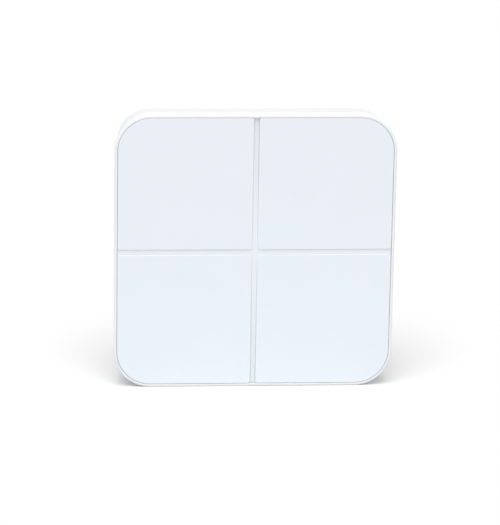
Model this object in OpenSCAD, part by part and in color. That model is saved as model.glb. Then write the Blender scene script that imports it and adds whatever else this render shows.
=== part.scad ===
// Battery wall button with four rocking keys on a magnetic wall plate.
// Every piece is drawn face up over the wall plane, then hung upright:
// +X is right, +Z is up, -Y is the side that faces the room, and the wall is at Y = 0.

/* [Body] */
// Width and height of the square front
face_size = 75; // [70:1:90]
// Corner radius of the front
face_radius = 10; // [8:0.5:12]
// Distance from the wall to the front
depth = 14; // [13.6:0.2:18]
// Draft of the sides, which narrow towards the wall
draft = 5.5; // [5:0.5:9]
// Width of the rim around the keys
rim_width = 0.85; // [0.7:0.05:1.2]
// Radius along the outer edge of the rim
rim_round = 0.55; // [0.2:0.05:0.55]
// Distance from the front to the seam between frame and housing
seam_depth = 5.2; // [4.9:0.1:5.6]
// Width of the fine V along the seam
seam_v = 0.2; // [0.1:0.05:0.4]
// Distance from the front edge inwards to the inner face of the side walls
wall_setback = 2.5; // [2.3:0.1:3]
// Gap between the housing's rear edge and the wall
wall_gap = 0.4; // [0.2:0.1:0.8]
// Thickness of the housing's floor
floor_t = 1.4; // [1.2:0.1:1.8]
// Width of the tongue that locates the frame on the housing
tongue_w = 0.6; // [0.4:0.1:0.8]
// Height of that tongue
tongue_h = 0.8; // [0.5:0.1:1.2]
// Clearance around the tongue
tongue_clear = 0.1; // [0.05:0.05:0.2]
// Chamfer along the housing's rear edge
rear_edge = 0.35; // [0.2:0.05:0.5]

/* [Keys] */
// Gap between the keys and the rim
key_gap = 0.1; // [0.1:0.05:0.4]
// Thickness of a key's plate
key_skin = 1.4; // [1.2:0.1:1.6]
// Thickness of a key's edge, which reaches over the frame
edge_t = 0.35; // [0.35:0.05:0.7]
// Thickness of that edge where it lies over the cross
lap_t = 0.2; // [0.15:0.05:0.3]
// Radius along the edges of a key
key_round = 0.1; // [0.1:0.05:0.3]
// Radius of a key's three inner corners
key_corner = 0.5; // [0.4:0.1:0.8]
// Width of the cross that shows between the keys
groove_width = 1.5; // [1.4:0.1:2.4]
// Width by which the bars of the cross reach under each key
bar_lap = 0.5; // [0.3:0.1:0.7]
// Clearance between the bars of the cross and a key's plate
bar_clear = 0.12; // [0.08:0.02:0.2]
// Clearance between the side walls and a key's plate
plate_side_gap = 0.2; // [0.15:0.05:0.4]
// Depth of the slot between the ends of the cross and the rim
slot_depth = 0.8; // [0.5:0.1:1]
// Gap between the bars of the cross and the circuit board behind them
bar_over = 0.8; // [0.5:0.1:1.2]
// Height of the ribs under a key
key_rib_h = 1.2; // [0.8:0.1:1.4]
// Thickness of the ribs under a key
key_rib_t = 1; // [0.8:0.1:1.4]
// Distance from a key's outer edge in to its ribs
rib_setback = 2.6; // [2.5:0.1:3.2]
// Gap between the ribs and the plunger of the switch below them
rib_relief = 0.6; // [0.4:0.1:1]
// Room left under the edge of a key, also when it is fully pressed
key_room = 0.05; // [0.05:0.01:0.3]

/* [Key hinge] */
// Angle through which a key is pressed
press_angle = 0.6; // [0.5:0.1:1]
// Radius of the hinge pins
pin_r = 0.8; // [0.6:0.05:0.9]
// Radial clearance of the pins in their bores
pin_clear = 0.05; // [0.03:0.01:0.08]
// Distance from the front to the hinge axis
axis_depth = 3.4; // [3.2:0.1:3.6]
// Distance from a key's inner edge to the hinge axis
axis_setback = 2.1; // [1.8:0.1:2.6]
// Reach of a pin into the bar of the cross
pin_reach_in = 0.8; // [0.5:0.1:1]
// Reach of a pin into the side wall
pin_reach_out = 0.7; // [0.5:0.1:1]
// Clearance at the end of a pin in its blind bore
pin_end_clear = 0.1; // [0.05:0.05:0.2]
// Radius of the lugs that carry the pins
lug_r = 1.2; // [1:0.1:1.7]
// Thickness of those lugs
lug_t = 1.2; // [1:0.1:1.6]
// Side clearance of a lug at the side wall
lug_clear = 0.2; // [0.1:0.05:0.4]

/* [Key hooks] */
// Width of a hook
hook_w = 4; // [3:0.5:6]
// Distance of each hook from the middle of its key
hook_spread = 6.5; // [5:0.5:6.5]
// Reach of a hook's nose
hook_nose = 0.85; // [0.6:0.05:0.95]
// Height of a hook's nose
hook_nose_h = 0.7; // [0.5:0.1:0.9]
// Height of the upright face at the end of that nose
hook_land = 0.25; // [0.2:0.05:0.4]
// Clearance between a hook and the catch above it
hook_clear = 0.05; // [0.03:0.01:0.1]
// Height of a catch on the frame
catch_h = 0.8; // [0.6:0.1:1]
// Depth by which a catch runs into the side wall
catch_root = 0.5; // [0.3:0.1:0.8]
// Side clearance between a catch and the key's ribs
catch_clear = 0.3; // [0.2:0.05:0.4]
// Distance from the front to the lower face of the catches
catch_depth = 3.85; // [3.8:0.05:4]

/* [Board and switches] */
// Thickness of the circuit board
board_t = 1; // [0.8:0.1:1.2]
// Gap between the board and the side walls
board_gap = 0.6; // [0.4:0.1:1]
// Distance from the hinge axis to the switch it works
switch_lever = 24; // [18:0.5:26]
// Width of a switch
switch_size = 6; // [5:0.5:7]
// Height of a switch's plastic base
switch_base_h = 1.4; // [1.2:0.1:1.6]
// Thickness of a switch's stamped cover
switch_cover_t = 0.2; // [0.15:0.05:0.3]
// Height of a plunger above the cover
plunger_h = 0.65; // [0.6:0.05:0.9]
// Radius of a plunger
plunger_r = 1.7; // [1.4:0.1:2]
// Radial clearance of a plunger
plunger_clear = 0.08; // [0.05:0.01:0.12]
// Width of the collar that keeps a plunger in its switch
plunger_collar = 0.16; // [0.12:0.02:0.3]
// Gap between that collar and the switch's cover
collar_gap = 0.08; // [0.05:0.01:0.12]
// Radius of the post under a key that meets the plunger
post_r = 1.6; // [1.2:0.1:2]
// Gap between post and plunger at rest
post_gap = 0.05; // [0.03:0.01:0.1]
// Radius of the pegs that locate the board
peg_r = 0.9; // [0.7:0.1:1.2]
// Radial clearance of the board on its pegs
peg_clear = 0.1; // [0.05:0.05:0.2]
// Height of the pegs above the board
peg_over = 0.4; // [0.2:0.1:0.6]
// Radius of the stand-offs under the board
standoff_r = 2; // [1.6:0.1:2.5]
// Distance from the side walls in to the stand-offs
standoff_x = 7; // [6:0.5:9]
// Distance from the middle up or down to the stand-offs
standoff_y = 8; // [6:0.5:10]

/* [Radio and chips] */
// Width of the radio module
radio_w = 18; // [14:1:20]
// Length of the radio module
radio_l = 13; // [10:1:14]
// Thickness of the radio module's own board
radio_t = 0.8; // [0.6:0.1:1]
// Height of its steel can
shield_h = 1.6; // [1.2:0.1:1.8]
// Length of the aerial strip that the can leaves bare
aerial_l = 3.5; // [2:0.5:5]
// Edge left bare around the can
shield_edge = 0.8; // [0.5:0.1:1.2]
// Sheet thickness of the can
shield_t = 0.2; // [0.15:0.05:0.3]
// Distance from the board's upper edge to the middle of the radio module
radio_y = 8.4; // [7.5:0.1:9.5]
// Width of the controller chip
chip_size = 6; // [4:0.5:7]
// Height of the chips
chip_h = 0.9; // [0.7:0.1:1.2]
// Distance from the middle across to the controller chip
chip_x = 14; // [12:0.5:16]
// Distance from the board's lower edge up to the controller chip
chip_y = 10.4; // [9.4:0.1:12.4]
// Width of the two small packages beside the controller
package_w = 3; // [2:0.5:4]
// Length of the two small packages
package_l = 2; // [1.5:0.5:3]
// Distance between the two small packages
package_pitch = 5.5; // [5:0.5:7]
// Length of the status light
led_l = 1.6; // [1:0.1:2]
// Width of the status light
led_w = 0.8; // [0.6:0.1:1]
// Height of the status light
led_h = 0.5; // [0.3:0.05:0.6]
// Distance from the centre down to the status light
led_y = 14; // [10:1:20]

/* [Battery] */
// Radius of the coin cell
cell_r = 12; // [10:0.5:12.5]
// Thickness of the coin cell
cell_t = 3; // [2.5:0.1:3.2]
// Radial clearance around the cell
cell_clear = 0.25; // [0.15:0.05:0.4]
// Gap between the cell and the door behind it
cell_gap = 0.05; // [0.02:0.01:0.1]
// Gap between cell and board that the contact spring fills
contact_gap = 0.45; // [0.4:0.05:0.6]
// Sheet thickness of the contacts
contact_t = 0.2; // [0.15:0.05:0.3]
// Radius of the lower contact's disc
contact_r = 5; // [4:0.5:6]
// Radius of the raised middle of that disc
contact_dome_r = 2.5; // [2:0.1:3]
// Width of the side contact
clip_w = 6; // [4:0.5:8]
// Length of the side contact's foot
clip_foot = 5; // [4:0.5:6]
// Gap between the side contact and the cell
clip_gap = 0.05; // [0.02:0.01:0.1]
// Gap between the end of the side contact and the door's cup
clip_end_gap = 0.05; // [0.02:0.01:0.1]

/* [Battery door] */
// Thickness of the door's flange
flange_t = 0.7; // [0.6:0.05:0.8]
// Width of the flange beyond the hole in the floor
flange_lap = 1.05; // [0.8:0.05:1.2]
// Gap between the flange and the seat behind it
flange_gap = 0.05; // [0.03:0.01:0.1]
// Thickness of the door
door_t = 1.2; // [1.1:0.1:1.3]
// Running clearance around the door
door_clear = 0.15; // [0.1:0.05:0.2]
// Wall of the cup that holds the cell
cup_t = 1; // [0.8:0.1:1.2]
// Height of that cup
cup_h = 1.7; // [1.5:0.1:1.8]
// Number of bayonet tabs
tab_count = 3; // [2:1:4]
// Angle covered by a tab
tab_angle = 24; // [18:1:30]
// Angle by which the opening for a tab is wider on each side
tab_slack = 2; // [1:0.5:3]
// Thickness of a tab
tab_t = 0.8; // [0.6:0.1:0.9]
// Turn that frees the door
door_turn = 45; // [35:1:50]
// Width of the coin slot
coin_w = 2.2; // [1.6:0.1:3]
// Length of the coin slot
coin_l = 18; // [14:1:20]
// Depth of the coin slot
coin_depth = 0.6; // [0.4:0.1:0.7]
// Gap between the tabs and the wall around them
well_gap = 0.6; // [0.4:0.1:0.8]
// Thickness of that wall
well_t = 1; // [0.8:0.1:1.2]
// Height of that wall
well_h = 1.3; // [1.1:0.1:1.5]

/* [Pairing button] */
// Radius of the pairing button
pair_r = 1.1; // [0.9:0.1:1.4]
// Clearance of the button in its hole
pair_clear = 0.1; // [0.05:0.05:0.15]
// Distance from the board's lower edge up to the pairing button
pair_y = 11.4; // [9.4:0.1:13.4]
// How far the button sits below the housing's floor
pair_sunk = 0.3; // [0.2:0.1:0.5]
// Travel of the pairing button
pair_travel = 0.3; // [0.2:0.05:0.4]
// Width of its switch
pair_size = 4.5; // [4:0.5:5]
// Height of its switch
pair_switch_h = 1.6; // [1.4:0.1:1.8]
// Radius of the collar that keeps the button in
pair_collar_r = 1.7; // [1.5:0.1:2]
// Thickness of that collar
pair_collar_t = 0.5; // [0.4:0.1:0.6]
// Gap between that collar and the housing's floor
pair_collar_gap = 0.1; // [0.05:0.05:0.15]

/* [Screws and magnets] */
// Radius of the bosses
boss_r = 2.2; // [2:0.1:2.4]
// Distance from the corner centre out to a boss, along each side
boss_out = 2.1; // [1.6:0.1:2.2]
// Thickness of the web that carries a boss
boss_web = 1.4; // [1:0.1:1.8]
// Height of the housing's bosses above its floor
boss_low_h = 1.6; // [1.4:0.1:2.4]
// Clearance around the bosses in the board
boss_clear = 0.5; // [0.3:0.1:0.8]
// Radius of a screw's shank
screw_r = 0.95; // [0.8:0.05:1.1]
// Length of a screw's shank
screw_l = 6; // [5:0.5:6]
// Radius of a screw's head
screw_head_r = 1.8; // [1.6:0.1:1.9]
// Height of a screw's head
screw_head_h = 1.1; // [0.9:0.1:1.2]
// Radial clearance around a screw's head
head_clear = 0.1; // [0.05:0.05:0.2]
// Depth of the screw hole beyond the end of the screw
screw_end_gap = 0.1; // [0.05:0.05:0.3]
// Length of the cross recess in a screw's head
recess_l = 2.2; // [1.8:0.1:2.4]
// Width of that recess
recess_w = 0.45; // [0.3:0.05:0.6]
// Depth of that recess
recess_depth = 0.55; // [0.4:0.05:0.7]
// Radius of a magnet
magnet_r = 4; // [3:0.5:4.5]
// Thickness of a magnet
magnet_t = 2; // [1.5:0.1:2.4]
// Floor left under a magnet
magnet_skin = 0.6; // [0.5:0.1:0.8]
// Wall around a magnet
magnet_wall = 0.9; // [0.7:0.1:1.2]
// Radial clearance of a magnet in its pocket
magnet_clear = 0.05; // [0.02:0.01:0.1]
// Distance from the middle across to the magnets
magnet_x = 22.5; // [22:0.5:24]
// Distance from the middle up or down to the magnets
magnet_y = 18; // [16:0.5:20]

/* [Wall plate] */
// Thickness of the wall plate
plate_t = 2; // [1.8:0.1:2.6]
// Edge of the housing that stays around the plate
plate_border = 2.6; // [2.4:0.1:3]
// Side clearance of the plate in the housing
plate_clear = 0.25; // [0.15:0.05:0.4]
// Gap between the plate and the housing's floor
plate_gap = 0.1; // [0.05:0.05:0.2]
// Distance between the two wall screws
hole_spacing = 50; // [44:1:52]
// Radius of the holes for the wall screws
hole_r = 1.8; // [1.6:0.1:2.2]
// Radius of the countersink for a screw's head
sink_r = 3.2; // [2.8:0.1:3.4]
// Depth of the countersink
sink_depth = 1.2; // [0.9:0.1:1.4]
// Width of a steel strip
strike_w = 12; // [10:0.5:13]
// Length of a steel strip
strike_l = 50; // [44:1:52]
// Thickness of a steel strip
strike_t = 0.8; // [0.6:0.1:0.9]
// Width of an adhesive pad
pad_w = 14; // [12:0.5:16]
// Length of an adhesive pad
pad_l = 48; // [40:1:50]
// Thickness of an adhesive pad
pad_t = 0.6; // [0.5:0.1:0.8]

/* [Hidden] */
$fn = 64;

// Slack by which a cutting shape passes the surface it cuts
cut = 1;

// How far inside the rim's round the drafted face starts, so that the two cross cleanly
round_bite = 0.002;

// How far the rounded edge of a key reaches into its skin, so that the two join in one piece
edge_bite = 0.05;

// Corners: all rounded outlines share the centres of the front's corner radii
corner = face_size / 2 - face_radius;
slope = tan(draft);
function half_at(h) = face_size / 2 - (depth - h) * slope;
quadrants = [for (sx = [-1, 1], sy = [-1, 1]) [sx, sy]];

// Heights over the wall, from the wall outwards
floor_out = plate_t + plate_gap;
floor_in = floor_out + floor_t;
cell_low = floor_out + door_t + cell_gap;
cell_high = cell_low + cell_t;
board_low = cell_high + contact_gap;
board_high = board_low + board_t;
cover_low = board_high + switch_base_h;
cover_high = cover_low + switch_cover_t;
plunger_top = cover_high + plunger_h;

// Heights over the wall, from the front inwards
key_under = depth - key_skin;
edge_under = depth - edge_t;
lap_under = depth - lap_t;
seam_h = depth - seam_depth;
lap_h = seam_h + tongue_h + tongue_clear;
axis_h = depth - axis_depth;
catch_low = depth - catch_depth;

// A key: square from key_low to key_high, measured from the middle of the front
key_low = groove_width / 2;
key_high = face_size / 2 - rim_width - key_gap;
key_mid = (key_low + key_high) / 2;
gap_mid = key_high + key_gap / 2;
axis_y = key_low + axis_setback;
key_drop = (key_high - axis_y) * sin(press_angle);
rib_bottom = key_under - key_rib_h;
bar_half = key_low + bar_lap;
bar_low = board_high + bar_over;
wall_in = face_size / 2 - wall_setback;
bar_top = lap_under - key_room;
bar_end = bar_top - key_drop;
shelf_h = edge_under - key_room - key_drop;
core_low = bar_half + bar_clear;
core_high = wall_in - plate_side_gap;
under_keys = rib_bottom - key_drop - key_room;
rib_out = key_high - rib_setback;
switch_y = axis_y + switch_lever;
pin_bore = pin_r + pin_clear;
board_half = wall_in - board_gap;
standoff = wall_in - standoff_x;
pair_at = [0, pair_y - board_half];
plunger_travel = switch_lever * sin(press_angle);

// Screw bosses and the wall plate's recess
boss = corner + boss_out;
boss_split = floor_in + boss_low_h;
screw_seat = floor_out + screw_head_h;
recess_half = half_at(wall_gap) - plate_border;
plate_half = recess_half - plate_clear;

// Battery door, from the cell outwards
cup_in = cell_r + cell_clear;
cup_out = cup_in + cup_t;
hole_door = cup_out + door_clear;
flange_r = hole_door + flange_lap;
tab_r = flange_r - door_clear;
well_r = tab_r + well_gap;

white = [0.96, 0.96, 0.95];
key_white = [0.91, 0.94, 0.97];
cross_grey = [0.88, 0.9, 0.92];
board_green = [0.1, 0.35, 0.2];
steel = [0.75, 0.76, 0.78];
black = [0.12, 0.12, 0.13];
gold = [0.83, 0.7, 0.35];

// Stands a piece that is drawn face up over the wall upright
module hang() {
    rotate([90, 0, 0]) children();
}

// Carries a profile, drawn from the corner centre outwards, once around the square body
module around() {
    for (turn = [0:90:270])
        rotate([0, 0, turn])
            translate([corner, corner, 0]) {
                rotate_extrude(angle = 90) children();
                rotate([90, 0, 0]) linear_extrude(2 * corner) children();
            }
}

// Upright block with a square outline of the given half width and the body's corner centres
module block(half, low, high) {
    r = half - corner;
    translate([0, 0, low]) {
        for (q = quadrants)
            translate([q[0] * corner, q[1] * corner, 0]) cylinder(r = r, h = high - low);
        translate([-corner, -half, 0]) cube([2 * corner, 2 * half, high - low]);
        translate([-half, -corner, 0]) cube([2 * half, 2 * corner, high - low]);
    }
}

// Cuboid given by its middle in plan, its plan size and its heights
module slab(at, size, low, high) {
    translate([at[0] - size[0] / 2, at[1] - size[1] / 2, low]) cube([size[0], size[1], high - low]);
}

// Upright cylinder given by its place in plan and its heights
module post(at, r, low, high) {
    translate([at[0], at[1], low]) cylinder(r = r, h = high - low);
}

// Section of the front frame's side wall: rim, shelf under the keys, drafted outer face, seam
module frame_section() {
    edge = face_size / 2 - corner;
    round_x = edge - rim_round * (slope + 1 / cos(draft));
    bite_r = rim_round - round_bite;
    rim_in = edge - rim_width;
    inner = wall_in - corner;
    lap_in = inner + tongue_w + tongue_clear;
    outer_seam = half_at(seam_h) - corner;
    outer_v = half_at(seam_h + seam_v) - corner;
    translate([round_x, depth - rim_round]) intersection() {
        circle(r = rim_round);
        translate([0, -rim_round]) square(2 * rim_round);
    }
    polygon([
        [rim_in, depth],
        [round_x, depth],
        [round_x + bite_r * cos(draft), depth - rim_round - bite_r * sin(draft)],
        [outer_v, seam_h + seam_v],
        [outer_seam - seam_v, seam_h],
        [lap_in, seam_h],
        [lap_in, lap_h],
        [inner, lap_h],
        [inner, shelf_h],
        [rim_in, shelf_h]
    ]);
}

// Section of the rear housing's side wall, with the tongue and the edge around the wall plate
module housing_section() {
    inner = wall_in - corner;
    recess = recess_half - corner;
    outer_seam = half_at(seam_h) - corner;
    rear = half_at(wall_gap + rear_edge) - corner;
    polygon([
        [inner, seam_h + tongue_h],
        [inner + tongue_w, seam_h + tongue_h],
        [inner + tongue_w, seam_h],
        [outer_seam - seam_v, seam_h],
        [half_at(seam_h - seam_v) - corner, seam_h - seam_v],
        [rear, wall_gap + rear_edge],
        [rear - rear_edge, wall_gap],
        [recess, wall_gap],
        [recess, floor_out],
        [0, floor_out],
        [0, floor_in],
        [inner, floor_in]
    ]);
}

// Catch that a key's hook sits under, on the inner face of the frame
module key_catch(x) {
    reach = wall_in - rib_out - catch_clear;
    slab([x, wall_in + (catch_root - reach) / 2], [hook_w, reach + catch_root],
        catch_low, catch_low + catch_h);
}

// Boss of the frame, hung from the corner on a web that passes over the housing's tongue
module frame_boss() {
    run = wall_in - corner - boss_out * sqrt(2) - tongue_clear;
    over = run + tongue_clear + tongue_w;
    difference() {
        union() {
            post([0, 0], boss_r, boss_split, under_keys);
            rotate([0, 0, 45]) {
                slab([run / 2, 0], [run, boss_web], bar_low, under_keys);
                slab([over / 2, 0], [over, boss_web], lap_h, under_keys);
            }
        }
        post([0, 0], screw_r, boss_split - cut, screw_seat + screw_l + screw_end_gap);
    }
}

// Bar of the cross along Y: its ends lap over the housing's tongue, its top is drawn as given
module cross_bar(top) {
    inside = wall_in - tongue_clear;
    rotate([90, 0, 90]) translate([0, 0, -bar_half]) linear_extrude(2 * bar_half)
        polygon(concat(top, [
            [-gap_mid, lap_h],
            [-inside, lap_h],
            [-inside, bar_low],
            [inside, bar_low],
            [inside, lap_h],
            [gap_mid, lap_h]
        ]));
}

// Rim, shelf and cross, moulded in one
module front_frame() {
    bore_end = wall_in + pin_reach_out + pin_end_clear;
    color(white) hang() difference() {
        union() {
            around() frame_section();
            rotate([0, 0, 90]) cross_bar([[gap_mid, bar_top], [-gap_mid, bar_top]]);
            cross_bar([
                [gap_mid, bar_end],
                [wall_in, bar_end],
                [axis_y, bar_top],
                [-axis_y, bar_top],
                [-wall_in, bar_end],
                [-gap_mid, bar_end]
            ]);
            for (sx = [-1, 1], side = [0, 1], at = [-hook_spread, hook_spread])
                mirror([0, side, 0]) key_catch(sx * key_mid + at);
            for (turn = [0:90:270]) rotate([0, 0, turn]) translate([boss, boss, 0]) frame_boss();
        }
        for (sy = [-1, 1])
            translate([-bore_end, sy * axis_y, axis_h]) rotate([0, 90, 0])
                cylinder(r = pin_bore, h = 2 * bore_end);
        for (turn = [0:90:270]) rotate([0, 0, turn])
            slab([0, gap_mid], [2 * bar_half, key_gap], shelf_h - slot_depth, bar_top + cut);
    }
}

// Ring of ledge openings through which the door's tabs drop in
module tab_sectors(r_in, r_out, angle, low, high) {
    for (k = [0:tab_count - 1])
        rotate([0, 0, k * 360 / tab_count - angle / 2])
            translate([0, 0, low])
                rotate_extrude(angle = angle)
                    translate([r_in, 0]) square([r_out - r_in, high - low]);
}

// Tray with the battery well, magnet pockets, stand-offs, bosses and the recess for the wall plate
module rear_housing() {
    pocket_low = floor_out + magnet_skin;
    color(white) hang() difference() {
        union() {
            around() housing_section();
            slab([0, 0], [2 * corner, 2 * corner], floor_out, floor_in);
            post([0, 0], well_r + well_t, floor_in, floor_in + well_h);
            for (q = quadrants) {
                post([q[0] * boss, q[1] * boss], boss_r, floor_in, boss_split);
                post([q[0] * magnet_x, q[1] * magnet_y], magnet_r + magnet_clear + magnet_wall,
                    floor_in, pocket_low + magnet_t);
                post([q[0] * standoff, q[1] * standoff_y], standoff_r, floor_in, board_low);
                post([q[0] * standoff, q[1] * standoff_y], peg_r, board_low, board_high + peg_over);
            }
        }
        post([0, 0], well_r, floor_in, floor_in + well_h + cut);
        post([0, 0], hole_door, floor_out - cut, floor_in + cut);
        post([0, 0], flange_r + door_clear, floor_out - cut, floor_out + flange_t + flange_gap);
        rotate([0, 0, -door_turn])
            tab_sectors(cup_in, tab_r + door_clear, tab_angle + 2 * tab_slack,
                floor_out, floor_in + cut);
        for (q = quadrants) {
            post([q[0] * boss, q[1] * boss], screw_r, floor_out - cut, boss_split + cut);
            post([q[0] * boss, q[1] * boss], screw_head_r + head_clear, floor_out - cut, screw_seat);
            post([q[0] * magnet_x, q[1] * magnet_y], magnet_r + magnet_clear,
                pocket_low, pocket_low + magnet_t + cut);
        }
        post(pair_at, pair_r + pair_clear, floor_out - cut, floor_in + cut);
    }
}

// Outline of a key, drawn in by some margin, in the upper right quarter
module key_outline(margin) {
    low = key_low + margin;
    high = key_high - margin;
    inner_r = key_corner - margin;
    outer_r = key_high - corner - margin;
    difference() {
        translate([low, low]) square(high - low);
        translate([corner, corner]) square(high);
        for (side = [0, 1])
            mirror([side, -side])
                translate([high - inner_r, low - cut]) square([2 * cut, inner_r + cut]);
        translate([low - cut, low - cut]) square(inner_r + cut);
    }
    translate([corner, corner]) circle(r = outer_r);
    for (at = [[low, low], [high, low], [low, high]])
        translate([
            at[0] == low ? low + inner_r : high - inner_r,
            at[1] == low ? low + inner_r : high - inner_r
        ]) circle(r = inner_r);
}

// Plate of a key: a thin skin with a rounded edge, and the thicker part that drops into the frame
module key_plate() {
    difference() {
        key_slab();
        for (side = [0, 1])
            mirror([side, -side, 0])
                translate([0, 0, edge_under - cut])
                    cube([face_size, core_low, lap_under - edge_under + cut]);
    }
}

// That plate before its edges over the cross are thinned from below
module key_slab() {
    outer_r = key_high - corner;
    inner_low = key_low + key_corner;
    inner_high = key_high - key_corner;
    translate([0, 0, edge_under]) linear_extrude(edge_t) key_outline(key_round);
    intersection() {
        block(core_high, key_under, depth - key_round);
        translate([core_low, core_low, key_under]) cube(key_high);
    }
    translate([corner, corner, 0]) rotate_extrude(angle = 90) translate([outer_r, 0]) key_edge();
    for (side = [0, 1])
        mirror([side, -side, 0]) {
            translate([inner_high, inner_low, 0]) rotate([0, 0, -90])
                rotate_extrude(angle = 90) translate([key_corner, 0]) key_edge();
            translate([key_high, corner, 0]) rotate([90, 0, 0])
                linear_extrude(corner - inner_low) key_edge();
            translate([key_low, inner_low, 0]) rotate([90, 0, 180])
                linear_extrude(inner_high - inner_low) key_edge();
        }
    translate([inner_low, inner_low, 0]) rotate([0, 0, 180])
        rotate_extrude(angle = 90) translate([key_corner, 0]) key_edge();
}

// Edge section of a key's plate, with its outer face at x = 0
module key_edge() {
    root = key_round + edge_bite;
    intersection() {
        translate([-root, edge_under]) square([root, edge_t]);
        union() {
            translate([-root, edge_under]) square([root, edge_t - key_round]);
            translate([-root, edge_under]) square([edge_bite, edge_t]);
            translate([-key_round, depth - key_round]) circle(r = key_round);
        }
    }
}

// Lug with a hinge pin that points to +X, its face at x = 0
module key_lug(reach) {
    translate([0, axis_y, axis_h]) rotate([0, 90, 0]) {
        translate([0, 0, -lug_t]) cylinder(r = lug_r, h = lug_t);
        cylinder(r = pin_r, h = reach);
    }
    slab([-lug_t / 2, axis_y], [lug_t, 2 * lug_r], axis_h, key_under);
}

// Hook at the free edge of a key
module key_hook(x) {
    top = catch_low - hook_clear;
    low = top - hook_nose_h;
    translate([x + hook_w / 2, 0, 0]) rotate([90, 0, -90]) linear_extrude(hook_w)
        polygon([
            [-rib_out + key_rib_t, key_under],
            [-rib_out + key_rib_t, low],
            [-rib_out, low],
            [-rib_out - hook_nose, top - hook_land],
            [-rib_out - hook_nose, top],
            [-rib_out, top],
            [-rib_out, key_under]
        ]);
}

// Stiffening ribs of a key: a frame that follows the body's corner, and a cross that stops
// short of the switch
module key_ribs() {
    hollow = core_low + key_rib_t;
    span = rib_out - core_low;
    difference() {
        intersection() {
            translate([core_low, core_low, rib_bottom]) cube([span, span, key_rib_h]);
            union() {
                difference() {
                    block(rib_out, rib_bottom, key_under);
                    intersection() {
                        block(rib_out - key_rib_t, rib_bottom - cut, key_under + cut);
                        translate([hollow, hollow, rib_bottom - cut])
                            cube([span, span, key_rib_h + 2 * cut]);
                    }
                }
                slab([key_mid, key_mid], [key_rib_t, 2 * key_high], rib_bottom, key_under);
                slab([key_mid, switch_y], [2 * key_high, key_rib_t], rib_bottom, key_under);
            }
        }
        post([key_mid, switch_y], plunger_r + rib_relief, rib_bottom - cut, key_under);
    }
}

// Key of the upper right quarter
module key() {
    outer_lug = wall_in - lug_clear;
    key_plate();
    key_ribs();
    translate([outer_lug, 0, 0]) key_lug(lug_clear + pin_reach_out);
    translate([core_low, 0, 0]) mirror([1, 0, 0]) key_lug(bar_clear + pin_reach_in);
    for (at = [-hook_spread, hook_spread]) key_hook(key_mid + at);
    translate([key_mid, switch_y, plunger_top + post_gap + post_r]) {
        sphere(r = post_r);
        cylinder(r = post_r, h = key_under - plunger_top - post_gap - post_r);
    }
}

module key_upper_right() {
    color(key_white) hang() key();
}

module key_upper_left() {
    color(key_white) hang() mirror([1, 0, 0]) key();
}

module key_lower_right() {
    color(key_white) hang() mirror([0, 1, 0]) key();
}

module key_lower_left() {
    color(key_white) hang() mirror([1, 0, 0]) mirror([0, 1, 0]) key();
}

// Plunger of a switch: stem and the collar that the cover keeps in
module plunger(sx, sy) {
    at = [sx * key_mid, sy * switch_y];
    collar_low = cover_low - plunger_travel;
    color(black) hang() {
        post(at, plunger_r, collar_low, plunger_top);
        post(at, plunger_r + plunger_collar, collar_low, cover_low - collar_gap);
    }
}

module plunger_upper_left() {
    plunger(-1, 1);
}

module plunger_upper_right() {
    plunger(1, 1);
}

module plunger_lower_left() {
    plunger(-1, -1);
}

module plunger_lower_right() {
    plunger(1, -1);
}

// Board, cut out for the bosses and the pegs
module circuit_board() {
    color(board_green) hang() difference() {
        block(board_half, board_low, board_high);
        for (q = quadrants) {
            post([q[0] * boss, q[1] * boss], boss_r + boss_clear,
                board_low - cut, board_high + cut);
            post([q[0] * standoff, q[1] * standoff_y], peg_r + peg_clear,
                board_low - cut, board_high + cut);
        }
    }
}

// Plastic bases of the four switches, each with a well for its plunger
module switch_bases() {
    well = plunger_r + plunger_collar + plunger_clear;
    well_low = cover_low - 2 * plunger_travel - collar_gap;
    color(black) hang() for (q = quadrants) {
        at = [q[0] * key_mid, q[1] * switch_y];
        difference() {
            slab(at, [switch_size, switch_size], board_high, cover_low);
            post(at, well, well_low, cover_low + cut);
        }
    }
}

// Stamped covers of the four switches
module switch_covers() {
    color(steel) hang() for (q = quadrants) {
        at = [q[0] * key_mid, q[1] * switch_y];
        difference() {
            slab(at, [switch_size, switch_size], cover_low, cover_high);
            post(at, plunger_r + plunger_clear, cover_low - cut, cover_high + cut);
        }
    }
}

// Radio module's own board, under the main board, with its aerial end outwards
module radio_carrier() {
    color(board_green) hang() slab([0, board_half - radio_y], [radio_w, radio_l],
        board_low - radio_t, board_low);
}

// Open can over the radio
module radio_shield() {
    size = [radio_w - 2 * shield_edge, radio_l - aerial_l - shield_edge];
    at = [0, board_half - radio_y - radio_l / 2 + shield_edge + size[1] / 2];
    top = board_low - radio_t;
    color(steel) hang() difference() {
        slab(at, size, top - shield_h, top);
        slab(at, [size[0] - 2 * shield_t, size[1] - 2 * shield_t],
            top - shield_h + shield_t, top + cut);
    }
}

// Controller and two small packages under the board
module board_chips() {
    low = board_low - chip_h;
    chip_at = chip_y - board_half;
    color(black) hang() {
        slab([chip_x, chip_at], [chip_size, chip_size], low, board_low);
        for (x = [chip_x, chip_x - package_pitch])
            slab([x, chip_at - chip_size], [package_w, package_l], low, board_low);
    }
}

// Status light under the cross
module indicator_led() {
    color("white") hang() slab([0, -led_y], [led_w, led_l], board_high, board_high + led_h);
}

// Coin cell: wide case with a stepped cap
module coin_cell() {
    step = cell_t / 10;
    color(steel) hang() translate([0, 0, cell_low])
        rotate_extrude()
            polygon([
                [0, 0],
                [cell_r - step, 0],
                [cell_r, step],
                [cell_r, cell_t - 2 * step],
                [cell_r - step, cell_t - step],
                [cell_r - 2 * step, cell_t - step],
                [cell_r - 3 * step, cell_t],
                [0, cell_t]
            ]);
}

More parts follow.
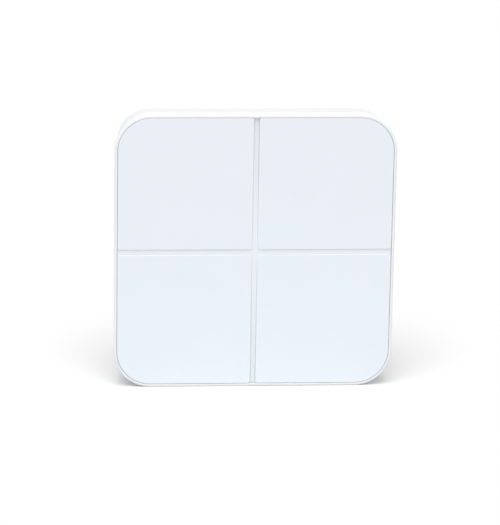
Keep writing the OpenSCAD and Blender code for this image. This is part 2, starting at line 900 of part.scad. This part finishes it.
// Side contact: foot on the board and a leaf along the cell's case
module contact_plus() {
    leaf_x = cell_r + clip_gap;
    leaf_low = floor_out + door_t + cup_h + clip_end_gap;
    color(gold) hang() {
        slab([leaf_x + clip_foot / 2, 0], [clip_foot, clip_w], board_low - contact_t, board_low);
        slab([leaf_x + contact_t / 2, 0], [contact_t, clip_w], leaf_low, board_low - contact_t);
    }
}

// Contact disc pressed from sheet, with a dished middle that the cell presses on
module contact_minus() {
    dish = contact_gap - contact_t;
    color(gold) hang() translate([0, 0, board_low])
        rotate_extrude()
            polygon([
                [0, -contact_gap],
                [contact_dome_r, -contact_gap],
                [contact_dome_r + dish, -contact_t],
                [contact_r, -contact_t],
                [contact_r, 0],
                [contact_dome_r + dish - contact_t / 2, 0],
                [contact_dome_r - contact_t / 2, -dish],
                [0, -dish]
            ]);
}

// Round door with a cup for the cell, bayonet tabs and a coin slot
module battery_door() {
    inner = floor_out + door_t;
    tab_low = floor_in + door_clear;
    color(white) hang() difference() {
        union() {
            post([0, 0], flange_r, floor_out, floor_out + flange_t);
            post([0, 0], cup_out, floor_out, inner + cup_h);
            tab_sectors(cup_in, tab_r, tab_angle, tab_low, tab_low + tab_t);
        }
        post([0, 0], cup_in, inner, inner + cup_h + cut);
        slab([0, 0], [coin_l, coin_w], floor_out - cut, floor_out + coin_depth);
    }
}

// Set-up switch under the board, open towards the wall
module pairing_switch() {
    low = board_low - pair_switch_h;
    color(black) hang() difference() {
        slab(pair_at, [pair_size, pair_size], low, board_low);
        post(pair_at, pair_r + pair_clear, low - cut, low + 2 * pair_travel);
    }
}

// Button in the housing's floor that works the set-up switch
module pairing_button() {
    switch_low = board_low - pair_switch_h;
    collar_low = floor_in + pair_collar_gap;
    color(cross_grey) hang() {
        post(pair_at, pair_r, floor_out + pair_sunk, switch_low + pair_travel / 2);
        post(pair_at, pair_collar_r, collar_low, collar_low + pair_collar_t);
    }
}

// Four discs in the floor of the housing
module magnets() {
    low = floor_out + magnet_skin;
    color(steel) hang() for (q = quadrants)
        post([q[0] * magnet_x, q[1] * magnet_y], magnet_r, low, low + magnet_t);
}

// Pan-head screws, driven from the wall side
module housing_screws() {
    color(steel) hang() for (q = quadrants) {
        at = [q[0] * boss, q[1] * boss];
        difference() {
            union() {
                post(at, screw_r, screw_seat, screw_seat + screw_l);
                post(at, screw_head_r, floor_out, screw_seat);
            }
            slab(at, [recess_l, recess_w], floor_out - cut, floor_out + recess_depth);
            slab(at, [recess_w, recess_l], floor_out - cut, floor_out + recess_depth);
        }
    }
}

// Plate that stays on the wall, with two screw holes and pockets for steel and tape
module wall_plate() {
    color(white) hang() difference() {
        block(plate_half, 0, plate_t);
        for (side = [-1, 1]) {
            post([0, side * hole_spacing / 2], hole_r, -cut, plate_t + cut);
            translate([0, side * hole_spacing / 2, plate_t - sink_depth])
                cylinder(r1 = hole_r, r2 = sink_r, h = sink_depth);
            slab([side * magnet_x, 0], [strike_w, strike_l], plate_t - strike_t, plate_t + cut);
            slab([side * magnet_x, 0], [pad_w, pad_l], -cut, pad_t);
        }
    }
}

// Steel strips that the magnets hold on to
module strike_plates() {
    color(steel) hang() for (side = [-1, 1])
        slab([side * magnet_x, 0], [strike_w, strike_l], plate_t - strike_t, plate_t);
}

// Strips of mounting tape, level with the back of the plate
module adhesive_pads() {
    color(cross_grey) hang() for (side = [-1, 1])
        slab([side * magnet_x, 0], [pad_w, pad_l], 0, pad_t);
}

front_frame();
rear_housing();
key_upper_left();
key_upper_right();
key_lower_left();
key_lower_right();
plunger_upper_left();
plunger_upper_right();
plunger_lower_left();
plunger_lower_right();
circuit_board();
switch_bases();
switch_covers();
radio_carrier();
radio_shield();
board_chips();
indicator_led();
coin_cell();
contact_plus();
contact_minus();
battery_door();
pairing_switch();
pairing_button();
magnets();
housing_screws();
wall_plate();
strike_plates();
adhesive_pads();
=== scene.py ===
"""Battery wall button with four rocking keys, standing on a pale studio floor.

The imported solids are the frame, and all of them show. Each section below dresses one piece, or a
group of like pieces, in the order in which the button is put together: wall plate, housing,
electronics, battery, front frame and keys. The finest parts on the circuit board, such as legs and
capacitors, are added here.
"""
import itertools
import math

import bmesh
import bpy
from mathutils import Matrix, Vector


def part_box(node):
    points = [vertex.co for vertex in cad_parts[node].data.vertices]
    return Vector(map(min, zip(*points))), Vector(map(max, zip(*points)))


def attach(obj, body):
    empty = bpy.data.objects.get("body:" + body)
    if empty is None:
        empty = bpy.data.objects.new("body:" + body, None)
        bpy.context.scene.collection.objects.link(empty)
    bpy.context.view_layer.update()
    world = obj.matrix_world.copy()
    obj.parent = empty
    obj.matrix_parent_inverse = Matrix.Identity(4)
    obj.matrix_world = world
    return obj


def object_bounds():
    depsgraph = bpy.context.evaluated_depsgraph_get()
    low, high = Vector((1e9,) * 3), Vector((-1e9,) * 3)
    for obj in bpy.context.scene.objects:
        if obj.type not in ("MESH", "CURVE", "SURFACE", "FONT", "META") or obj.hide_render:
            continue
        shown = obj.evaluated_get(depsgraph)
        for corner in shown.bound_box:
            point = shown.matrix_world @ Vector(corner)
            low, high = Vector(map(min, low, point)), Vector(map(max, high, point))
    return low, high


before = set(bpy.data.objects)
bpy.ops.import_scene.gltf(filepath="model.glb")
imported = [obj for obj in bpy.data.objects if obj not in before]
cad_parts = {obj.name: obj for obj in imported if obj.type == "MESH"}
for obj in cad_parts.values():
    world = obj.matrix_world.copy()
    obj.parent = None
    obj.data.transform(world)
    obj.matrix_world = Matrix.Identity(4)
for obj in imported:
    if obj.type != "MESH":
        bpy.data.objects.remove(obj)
cad_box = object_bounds()


# Wall plate: the square plate that stays on the wall, injection moulded in white plastic.
# It is held by two countersunk screws or by tape, and its back is left as the tool made it.
class Value:
    """One output of a shader's nodes. Sums and products of these add their Math nodes."""

    def __init__(self, tree, socket=None):
        self.tree = tree
        self.socket = socket

    def feed(self, socket, value):
        """Gives a socket a plain value, or links another node's output to it."""
        if isinstance(value, Value):
            self.tree.links.new(value.socket, socket)
        else:
            socket.default_value = value

    def node(self, kind, settings=None, inputs=None, out=0):
        """Adds a node: its settings are set first, then its sockets get values or links."""
        made = self.tree.nodes.new("ShaderNode" + kind)
        for name, setting in (settings or {}).items():
            setattr(made, name, setting)
        for name, value in (inputs or {}).items():
            self.feed(made.inputs[name], value)
        return Value(self.tree, made.outputs[out])

    def math(self, operation, *others):
        """Adds a Math node whose first term is this value."""
        return self.node("Math", {"operation": operation}, dict(enumerate((self, *others))))

    def mix(self, first, second):
        """Colour between first and second, by this value."""
        return self.node("Mix", {"data_type": "RGBA"}, {0: self, 6: first, 7: second}, out=2)

    def step(self, low, high):
        """Rises smoothly from 0 at low to 1 at high."""
        return self.node("MapRange", {"interpolation_type": "SMOOTHSTEP"},
                         {"Value": self, "From Min": low, "From Max": high})

    def __add__(self, other):
        return self.math("ADD", other)

    def __sub__(self, other):
        return self.math("SUBTRACT", other)

    def __rsub__(self, other):
        return self.node("Math", {"operation": "SUBTRACT"}, {0: other, 1: self})

    def __mul__(self, other):
        return self.math("MULTIPLY", other)

    def __abs__(self):
        return self.math("ABSOLUTE")

    __radd__, __rmul__ = __add__, __mul__


class Finish:
    """A material with one Principled shader, and the place of a point on the object."""

    def __init__(self, name):
        self.material = bpy.data.materials.new(name)
        self.material.use_nodes = True
        self.tree = self.material.node_tree
        self.shader = self.tree.nodes["Principled BSDF"]
        self.place = Value(self.tree).node("TexCoord", out="Object")

    def axes(self):
        """The point's x, y and z, in metres."""
        split = self.place.node("SeparateXYZ", inputs={0: self.place}).socket.node
        return [Value(self.tree, output) for output in split.outputs]

    def noise(self, size, detail=2.0):
        """Soft noise from 0 to 1 whose lumps are about size metres across."""
        return self.place.node("TexNoise", inputs={
            "Vector": self.place, "Scale": 1 / size, "Detail": detail})

    def set(self, **sockets):
        """Gives the shader's sockets their values or links; Base_Color stands for Base Color."""
        for name, value in sockets.items():
            self.place.feed(self.shader.inputs[name.replace("_", " ")], value)

    def bump(self, height, depth):
        """Raises the surface by height, whose full range is depth metres."""
        self.set(Normal=height.node("Bump", inputs={
            "Height": height, "Strength": 1.0, "Distance": depth}))


def dress(finish, *nodes):
    """Puts a finish on whole CAD nodes."""
    for name in nodes:
        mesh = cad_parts[name].data
        mesh.materials.clear()
        mesh.materials.append(finish.material)


def moulded(name, colour, roughness, grain, depth):
    """Moulded plastic: slight shade from the flow of the melt, and the tool's fine even grain."""
    flow_size, flow_shade = 0.012, 0.975
    finish = Finish(name)
    flow = finish.noise(flow_size, detail=3.0)
    speck = finish.noise(grain, detail=1.0)
    dark = [channel * flow_shade for channel in colour]
    finish.set(Base_Color=flow.mix((*dark, 1), (*colour, 1)),
               Roughness=roughness - 0.05 + 0.06 * flow + 0.04 * speck,
               IOR=1.49)
    finish.bump(speck, depth)
    return finish


plate_white = moulded("plate_white", colour=(0.86, 0.86, 0.85), roughness=0.5,
                      grain=0.00025, depth=0.000012)
dress(plate_white, "wall_plate")


# Steel strips: two strips of zinc-plated steel sheet, pressed into pockets of the wall plate.
# The magnets of the button hold on to them.
def sheet_metal(name, colour, roughness, along, streak):
    """Rolled sheet: streaks along one axis of the object, and a faint cloud of handling."""
    stretched, streak_shade, streak_depth, cloud_size = 0.05, 0.82, 0.000006, 0.004
    finish = Finish(name)
    scale = [(stretched if axis == along else 1) / streak for axis in "xyz"]
    lines = finish.place.node("Mapping", inputs={"Vector": finish.place, "Scale": scale})
    rolled = lines.node("TexNoise", inputs={"Vector": lines, "Scale": 1.0, "Detail": 3.0})
    cloud = finish.noise(cloud_size)
    dark = [channel * streak_shade for channel in colour]
    finish.set(Base_Color=rolled.mix((*dark, 1), (*colour, 1)),
               Metallic=1.0,
               Roughness=roughness + 0.14 * rolled + 0.08 * cloud)
    finish.bump(rolled, streak_depth)
    return finish


zinc_strip = sheet_metal("zinc_strip", colour=(0.64, 0.65, 0.66), roughness=0.28,
                         along="z", streak=0.0004)
dress(zinc_strip, "strike_plates")


# Mounting tape: two strips of closed-cell foam tape, level with the back of the plate.
# The cells show as fine pores, painted grey as painted shade in their hollows.
pore_size, pore_middle, pore_edge = 0.0006, 0.05, 0.35
pore_painted_shade, foam_white = (0.62, 0.62, 0.6, 1), (0.78, 0.78, 0.76, 1)
tape = Finish("foam_tape")
cells = tape.place.node("TexVoronoi", inputs={"Vector": tape.place, "Scale": 1 / pore_size})
foam = cells.step(pore_middle, pore_edge)
tape.set(Base_Color=foam.mix(pore_painted_shade, foam_white), Roughness=0.75 + 0.15 * foam)
tape.bump(foam, depth=0.00004)
dress(tape, "adhesive_pads")


# Rear housing: the white tray behind the seam, moulded with its bosses, pockets and battery well.
# Four screws from the back hold the front frame on it.
housing_white = moulded("housing_white", colour=(0.85, 0.85, 0.847), roughness=0.42,
                        grain=0.0002, depth=0.00001)
dress(housing_white, "rear_housing")


# Magnets: four nickel-plated discs that hold the button on its wall plate.
# They lie in round pockets of the housing's floor, and their plating is rubbed a little dull.
dull_nickel, bright_nickel = (0.58, 0.57, 0.55, 1), (0.7, 0.69, 0.67, 1)
nickel = Finish("magnet_nickel")
rub = nickel.noise(size=0.0012, detail=4.0)
nickel.set(Base_Color=rub.mix(dull_nickel, bright_nickel), Metallic=1.0,
           Roughness=0.14 + 0.16 * rub)
nickel.bump(rub, depth=0.000004)
dress(nickel, "magnets")


# Circuit board: glass-fibre laminate under green solder mask, with copper tracks, poured fields
# and plated holes below the mask; the radio's own small board is made alike.
# It lies on four stand-offs of the housing, and pegs locate it.
track_pitch, track_edge, gap_edge = 0.0008, 0.2, 0.25
jog_length, jog_side = 0.011, 0.003
field_size, field_share, field_edge = 0.014, 0.5, 0.501
via_spread, via_hole, via_edge = 0.0045, 0.075, 0.095
deep_green, light_green = (0.006, 0.085, 0.03, 1), (0.009, 0.11, 0.04, 1)
copper_green, via_tin = (0.018, 0.19, 0.07, 1), (0.5, 0.5, 0.46, 1)
mask_green = Finish("solder_mask")
x, _, z = mask_green.axes()
ramp = z.math("PINGPONG", jog_length) - (jog_length - jog_side) / 2
jog = ramp.math("MAXIMUM", 0.0).math("MINIMUM", jog_side)
lane = (x + jog) * (1 / track_pitch)
tracks = 1 - abs(lane.math("FRACT") - 0.5).step(track_edge, gap_edge)
fields = mask_green.place.node("TexVoronoi", {"distance": "CHEBYCHEV"}, {
    "Vector": mask_green.place, "Scale": 1 / field_size}, out="Color")
poured = fields.node("RGBToBW", inputs={0: fields}).step(field_share, field_edge)
copper = tracks.math("MAXIMUM", poured)
spots = mask_green.place.node("TexVoronoi", inputs={
    "Vector": mask_green.place, "Scale": 1 / via_spread})
vias = 1 - spots.step(via_hole, via_edge)
weave = mask_green.noise(size=0.0005)
board_green = weave.mix(deep_green, light_green)
mask_green.set(Base_Color=vias.mix(copper.mix(board_green, copper_green), via_tin),
               Roughness=0.28 + 0.1 * weave, Coat_Weight=0.4)
mask_green.bump(copper + 0.2 * weave, depth=0.00003)
dress(mask_green, "circuit_board", "radio_carrier")


# Push switches: black plastic bases with stamped covers of tinned steel, one under each key.
# They are soldered to the board. A black plunger stands through each cover, and the post of
# its key pushes it. The radio's can is stamped from the same sheet.
four_places = [f"{row}_{side}" for row in ("upper", "lower") for side in ("left", "right")]
switch_black = moulded("switch_black", colour=(0.028, 0.028, 0.03), roughness=0.45,
                       grain=0.00012, depth=0.000008)
dress(switch_black, "switch_bases", "pairing_switch",
      *[f"plunger_{place}" for place in four_places])
tinned = sheet_metal("tinned_sheet", colour=(0.66, 0.67, 0.69), roughness=0.24,
                     along="x", streak=0.0003)
dress(tinned, "switch_covers", "radio_shield")


# Switch legs: four bent strips of tinned sheet on each switch, two to a side.
# They leave the base at half its height and lie flat on the board, where they are soldered.
def gull_wing(root, out, drop):
    """Middle line of a leg: straight out of its base, down in an S, and flat along the board."""
    straight, bend, steps = 0.2, 0.35, 6
    line = [root]
    for step in range(steps + 1):
        share = step / steps
        fall = share * share * (3 - 2 * share)
        line.append(root + (straight + bend * share) * out + fall * drop)
    return line + [root + out + drop]


def bent_strip(shape, line, across, sheet):
    """Adds a strip of sheet to a mesh, bent along a line; across is its width, as a vector."""
    rings = []
    for i, point in enumerate(line):
        before = (point - line[i - 1] if i else line[1] - point).normalized()
        after = (line[i + 1] - point if i + 1 < len(line) else point - line[i - 1]).normalized()
        along = before + after
        lift = across.cross(along).normalized() * sheet / along.length
        rings.append([shape.verts.new(point + side * across / 2 + face * lift)
                      for side, face in ((-1, -1), (1, -1), (1, 1), (-1, 1))])
    for near, far in zip(rings, rings[1:]):
        for i in range(len(near)):
            shape.faces.new((near[i - 1], near[i], far[i], far[i - 1]))
    shape.faces.new(rings[0])
    shape.faces.new(rings[-1])


def placed(name, data):
    """Puts an object in the scene, made of a mesh, a lamp or a lens."""
    made = bpy.data.objects.new(name, data)
    bpy.context.scene.collection.objects.link(made)
    return made


def fitted(name, shape, finish):
    """Makes a piece of a finished mesh, which moves with the button and not with its wall plate."""
    bmesh.ops.recalc_face_normals(shape, faces=shape.faces)
    mesh = bpy.data.meshes.new(name)
    shape.to_mesh(mesh)
    shape.free()
    mesh.materials.append(finish.material)
    piece = placed(name, mesh)
    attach(piece, "unit")


switch_half = 0.003
leg_width, leg_sheet, leg_reach, leg_spread = 0.0007, 0.0002, 0.0014, 0.00225
low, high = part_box("switch_bases")
legs = bmesh.new()
for across_x, up_z, side, end in itertools.product((-1, 1), repeat=4):
    root = Vector((across_x * (high.x - switch_half) + side * switch_half,
                   (low.y + high.y) / 2,
                   up_z * (high.z - switch_half) + end * leg_spread))
    drop = Vector((0, high.y - leg_sheet / 2 - root.y, 0))
    line = gull_wing(root, Vector((side * leg_reach, 0, 0)), drop)
    bent_strip(legs, line, Vector((0, 0, leg_width)), leg_sheet)
fitted("switch_legs", legs, tinned)


# Radio aerial: a meander of gilt copper on the end of the radio's board that its can leaves bare.
# It is etched from the copper and lies on the side that faces the wall.
aerial_width, aerial_copper = 0.0005, 0.00005
aerial_half, aerial_margin, aerial_runs = 0.0075, 0.0008, 11
board_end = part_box("radio_carrier")[1]
can_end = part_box("radio_shield")[1]
rows = (can_end.z + aerial_margin, board_end.z - aerial_margin)
line = []
for run in range(aerial_runs):
    run_x = aerial_half * (2 * run / (aerial_runs - 1) - 1)
    for row in (rows if run % 2 == 0 else rows[::-1]):
        line.append(Vector((run_x, board_end.y + aerial_copper / 2, row)))
aerial = bmesh.new()
bent_strip(aerial, line, Vector((0, aerial_copper, 0)), aerial_width)
gilt = sheet_metal("aerial_gilt", colour=(0.83, 0.66, 0.34), roughness=0.22,
                   along="x", streak=0.0002)
fitted("radio_aerial", aerial, gilt)


# Chips: the controller and two small packages in black moulding compound, under the board.
# Tinned leads along their sides are soldered to it.
controller_half, controller_reach, controller_leads, controller_pitch = 0.003, 0.001, 8, 0.00065
package_half_x, package_half_z = 0.0015, 0.001
package_reach, package_leads, package_pitch = 0.0006, 3, 0.00095
lead_width, lead_sheet = 0.00028, 0.00015
chip_black = moulded("chip_black", colour=(0.02, 0.02, 0.022), roughness=0.55,
                     grain=0.00009, depth=0.000012)
dress(chip_black, "board_chips")
low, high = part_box("board_chips")
controller_x, controller_z = high.x - controller_half, high.z - controller_half
package_z = low.z + package_half_z
lead_y = (low.y + high.y) / 2
lead_drop = Vector((0, low.y + lead_sheet / 2 - lead_y, 0))


def lead_row(shape, middle, out, count, pitch):
    """Adds a row of leads that leave a package at middle, in the direction and length of out."""
    across = Vector((out.z, 0, out.x)).normalized()
    for i in range(count):
        root = middle + (i - (count - 1) / 2) * pitch * across
        bent_strip(shape, gull_wing(root, out, lead_drop), across * lead_width, lead_sheet)


leads = bmesh.new()
for side in (-1, 1):
    lead_row(leads, Vector((controller_x + side * controller_half, lead_y, controller_z)),
             Vector((side * controller_reach, 0, 0)), controller_leads, controller_pitch)
    lead_row(leads, Vector((controller_x, lead_y, controller_z + side * controller_half)),
             Vector((0, 0, side * controller_reach)), controller_leads, controller_pitch)
    for package_x in (controller_x, low.x + package_half_x):
        lead_row(leads, Vector((package_x, lead_y, package_z + side * package_half_z)),
                 Vector((0, 0, side * package_reach)), package_leads, package_pitch)
fitted("chip_leads", leads, tinned)


# Capacitors: small blocks of layered ceramic with tinned ends, in rows beside the controller
# and the radio. A machine sets them on solder paste, and the oven melts it.
def soft_block(shape, middle, size, edge):
    """Adds a block with rounded edges to a mesh."""
    place = Matrix.Translation(middle) @ Matrix.Diagonal((*size, 1))
    made = bmesh.ops.create_cube(shape, size=1.0, matrix=place)
    edges = {joined for corner in made["verts"] for joined in corner.link_edges}
    bmesh.ops.bevel(shape, geom=list(edges), offset=edge, segments=2, profile=0.5, affect="EDGES")


part_length, part_width, part_height, part_edge = 0.0016, 0.0008, 0.00045, 0.00005
end_length, end_skin, end_edge = 0.0004, 0.00003, 0.00006
row_pitch, controller_aside = 0.0021, 0.0062
radio_aside, radio_first, radio_rows = 0.0115, 0.022, 4
body_size = (part_length - 2 * end_skin, part_height, part_width)
end_size = (end_length, part_height + 2 * end_skin, part_width + 2 * end_skin)
part_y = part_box("circuit_board")[1].y + end_skin + part_height / 2
beside_controller = [(controller_x + side * controller_aside, controller_z + row * row_pitch)
                     for side in (-1, 1) for row in (-1, 0, 1)]
beside_radio = [(side * radio_aside, radio_first + row * row_pitch)
                for side in (-1, 1) for row in range(radio_rows)]
ceramic_bodies, ceramic_ends = bmesh.new(), bmesh.new()
for part_x, part_z in beside_controller + beside_radio:
    middle = Vector((part_x, part_y, part_z))
    soft_block(ceramic_bodies, middle, body_size, part_edge)
    for side in (-1, 1):
        to_end = Vector((side * (part_length - end_length) / 2, 0, 0))
        soft_block(ceramic_ends, middle + to_end, end_size, end_edge)
ceramic = moulded("capacitor_ceramic", colour=(0.3, 0.215, 0.14), roughness=0.5,
                  grain=0.00008, depth=0.000006)
fitted("capacitor_bodies", ceramic_bodies, ceramic)
fitted("capacitor_ends", ceramic_ends, tinned)


# Status light: a small block of clear resin, slightly yellow from the phosphor in it.
# It is soldered to the board, under the cross.
deep_resin, clear_resin = (0.86, 0.84, 0.7, 1), (0.93, 0.92, 0.84, 1)
resin = Finish("led_resin")
haze = resin.noise(size=0.0004)
resin.set(Base_Color=haze.mix(deep_resin, clear_resin),
          Roughness=0.12 + 0.1 * haze, Coat_Weight=0.5)
dress(resin, "indicator_led")


# Coin cell: a lithium cell in a nickel-plated steel case, with turned rings on its faces.
# It lies in the cup of the door.
ring_pitch = 0.00035
dull_steel, bright_steel = (0.6, 0.6, 0.59, 1), (0.74, 0.74, 0.73, 1)
cell_steel = Finish("cell_steel")
x, _, z = cell_steel.axes()
radius = (x * x + z * z).math("SQRT")
rings = (radius * (2 * math.pi / ring_pitch)).math("SINE")
scuff = cell_steel.noise(size=0.002, detail=5.0)
cell_steel.set(Base_Color=scuff.mix(dull_steel, bright_steel), Metallic=1.0,
               Roughness=0.2 + 0.05 * rings + 0.15 * scuff)
cell_steel.bump(rings, depth=0.000004)
dress(cell_steel, "coin_cell")


# Battery contacts: two springs stamped from plated strip.
# One is a leaf along the cell's case, the other a dished disc above the cell.
spring_strip = sheet_metal("spring_strip", colour=(0.78, 0.62, 0.3), roughness=0.2,
                           along="x", streak=0.00025)
dress(spring_strip, "contact_plus", "contact_minus")


# Battery door: a round door moulded in the same white plastic as the housing.
# A coin turns it, and its tabs lock under ledges of the well.
dress(housing_white, "battery_door")


# Pairing button: a small light grey moulding that reaches the set-up switch from the back.
# A collar behind the housing's floor holds it.
button_grey = moulded("button_grey", colour=(0.5, 0.51, 0.52), roughness=0.45,
                      grain=0.0002, depth=0.00001)
dress(button_grey, "pairing_button")


# Housing screws: four zinc-plated steel screws, pan heads with a cross recess.
# They are driven from the wall side, through the housing into the front frame.
screw_zinc = sheet_metal("screw_zinc", colour=(0.6, 0.61, 0.62), roughness=0.26,
                         along="y", streak=0.0003)
dress(screw_zinc, "housing_screws")


# Front frame: the rim and the cross between the keys, moulded in one piece of white plastic.
# The cross lies lower than the keys, and its top is painted a little greyer than the rim, as
# painted shade of that recess.
rim_inside, rim_blend = 0.0366, 0.0001
deep_rim, light_rim = (0.895, 0.898, 0.9, 1), (0.915, 0.918, 0.92, 1)
# Painted shade: the cross's colours are darker than the rim's, for the shade in its recess between
# the keys.
deep_cross_painted_shade, light_cross_painted_shade = (0.856, 0.9, 0.928, 1), (0.871, 0.915, 0.943, 1)
frame_white = Finish("frame_white")
x, _, z = frame_white.axes()
from_middle = abs(x).math("MAXIMUM", abs(z))
# Where the cross lies, which gets the painted shade.
cross_shade_mask = 1 - from_middle.step(rim_inside - rim_blend, rim_inside)
flow = frame_white.noise(size=0.012, detail=3.0)
speck = frame_white.noise(size=0.0002, detail=1.0)
rim, cross = flow.mix(deep_rim, light_rim), flow.mix(deep_cross_painted_shade, light_cross_painted_shade)
frame_white.set(Base_Color=cross_shade_mask.mix(rim, cross),
                Roughness=0.34 + 0.06 * flow + 0.04 * speck, IOR=1.49)
frame_white.bump(speck, depth=0.000008)
dress(frame_white, "front_frame")


# Keys: four plates of cool white plastic, each on two hinge pins by the cross.
# Their faces are smooth satin; hooks at the outer edge keep them down.
key_white = moulded("key_white", colour=(0.866, 0.915, 0.974), roughness=0.33,
                    grain=0.00016, depth=0.000005)
dress(key_white, *[f"key_{place}" for place in four_places])


# Floor: a wide sheet of white paper under the button, on which its soft shadow falls.
# A little glow, which only the camera and reflections see, makes the bare paper come out white.
def background_rays(tree):
    """1 for a ray that shows the background, straight or by metal or glass, and 0 for others."""
    rays = Value(tree).node("LightPath").socket.node.outputs
    seen = Value(tree, rays["Is Camera Ray"])
    for kind in ("Is Glossy Ray", "Is Transmission Ray"):
        seen = seen.math("MAXIMUM", Value(tree, rays[kind]))
    return seen


white = (1, 1, 1, 1)
floor_half, floor_z, floor_glow = 4.0, cad_box[0].z, 0.14
corners = [(-1, -1), (1, -1), (1, 1), (-1, 1)]
floor_mesh = bpy.data.meshes.new("studio_floor")
floor_mesh.from_pydata([(a * floor_half, b * floor_half, floor_z) for a, b in corners],
                       [], [(0, 1, 2, 3)])
floor = placed("studio_floor", floor_mesh)
paper = Finish("studio_paper")
paper.set(Base_Color=(0.79, 0.79, 0.79, 1), Roughness=0.9, Specular_IOR_Level=0.0)
glow = paper.place.node("Emission", inputs={
    "Color": white, "Strength": floor_glow * background_rays(paper.tree)})
body = Value(paper.tree, paper.shader.outputs[0])
lifted = body.node("AddShader", inputs={0: body, 1: glow})
paper.tree.links.new(lifted.socket, paper.tree.nodes["Material Output"].inputs[0])
floor_mesh.materials.append(paper.material)


# Studio light: an even white room, and one large soft box above and in front of the button.
# The room shows white behind the button, but lights it with about half of that.
room_level = 0.475
room = bpy.data.worlds.new("studio_room")
room.use_nodes = True
bpy.context.scene.world = room
level = room_level + (1 - room_level) * background_rays(room.node_tree)
backdrop = level.node("Background", inputs={"Color": white, "Strength": level})
room.node_tree.links.new(backdrop.socket, room.node_tree.nodes["World Output"].inputs[0])
lamp = bpy.data.lights.new("soft_box_above", "SUN")
lamp.energy = 2.15
lamp.angle = math.radians(44)
toward = Vector((-0.06, -0.4, 0.914))
soft_box = placed("soft_box_above", lamp)
soft_box.rotation_euler = toward.to_track_quat("Z", "Y").to_euler()


# Camera: a long lens a little above and to the left of the button, at the photograph's angle.
# Its focal length is given in pixels of the photograph, whose longer side is its height.
image_height, focal_px, distance = 525, 3000, 0.799
yaw, pitch, roll = (math.radians(angle) for angle in (-4.74, 15.55, 1.0))
target = Vector((-0.00122, cad_box[0].y, -0.00284))
back = Vector((math.sin(yaw) * math.cos(pitch), -math.cos(yaw) * math.cos(pitch), math.sin(pitch)))
right = Vector((math.cos(yaw), math.sin(yaw), 0))
up = back.cross(right)
right, up = (math.cos(roll) * right + math.sin(roll) * up,
             math.cos(roll) * up - math.sin(roll) * right)
lens = bpy.data.cameras.new("photo_camera")
lens.sensor_width = 36
lens.lens = lens.sensor_width * focal_px / image_height
lens.clip_start = 0.01
camera = placed("photo_camera", lens)
turn = Matrix((right, up, back)).transposed().to_4x4()
camera.matrix_world = Matrix.Translation(target + distance * back) @ turn
bpy.context.scene.camera = camera
bpy.context.scene.view_settings.view_transform = "Standard"
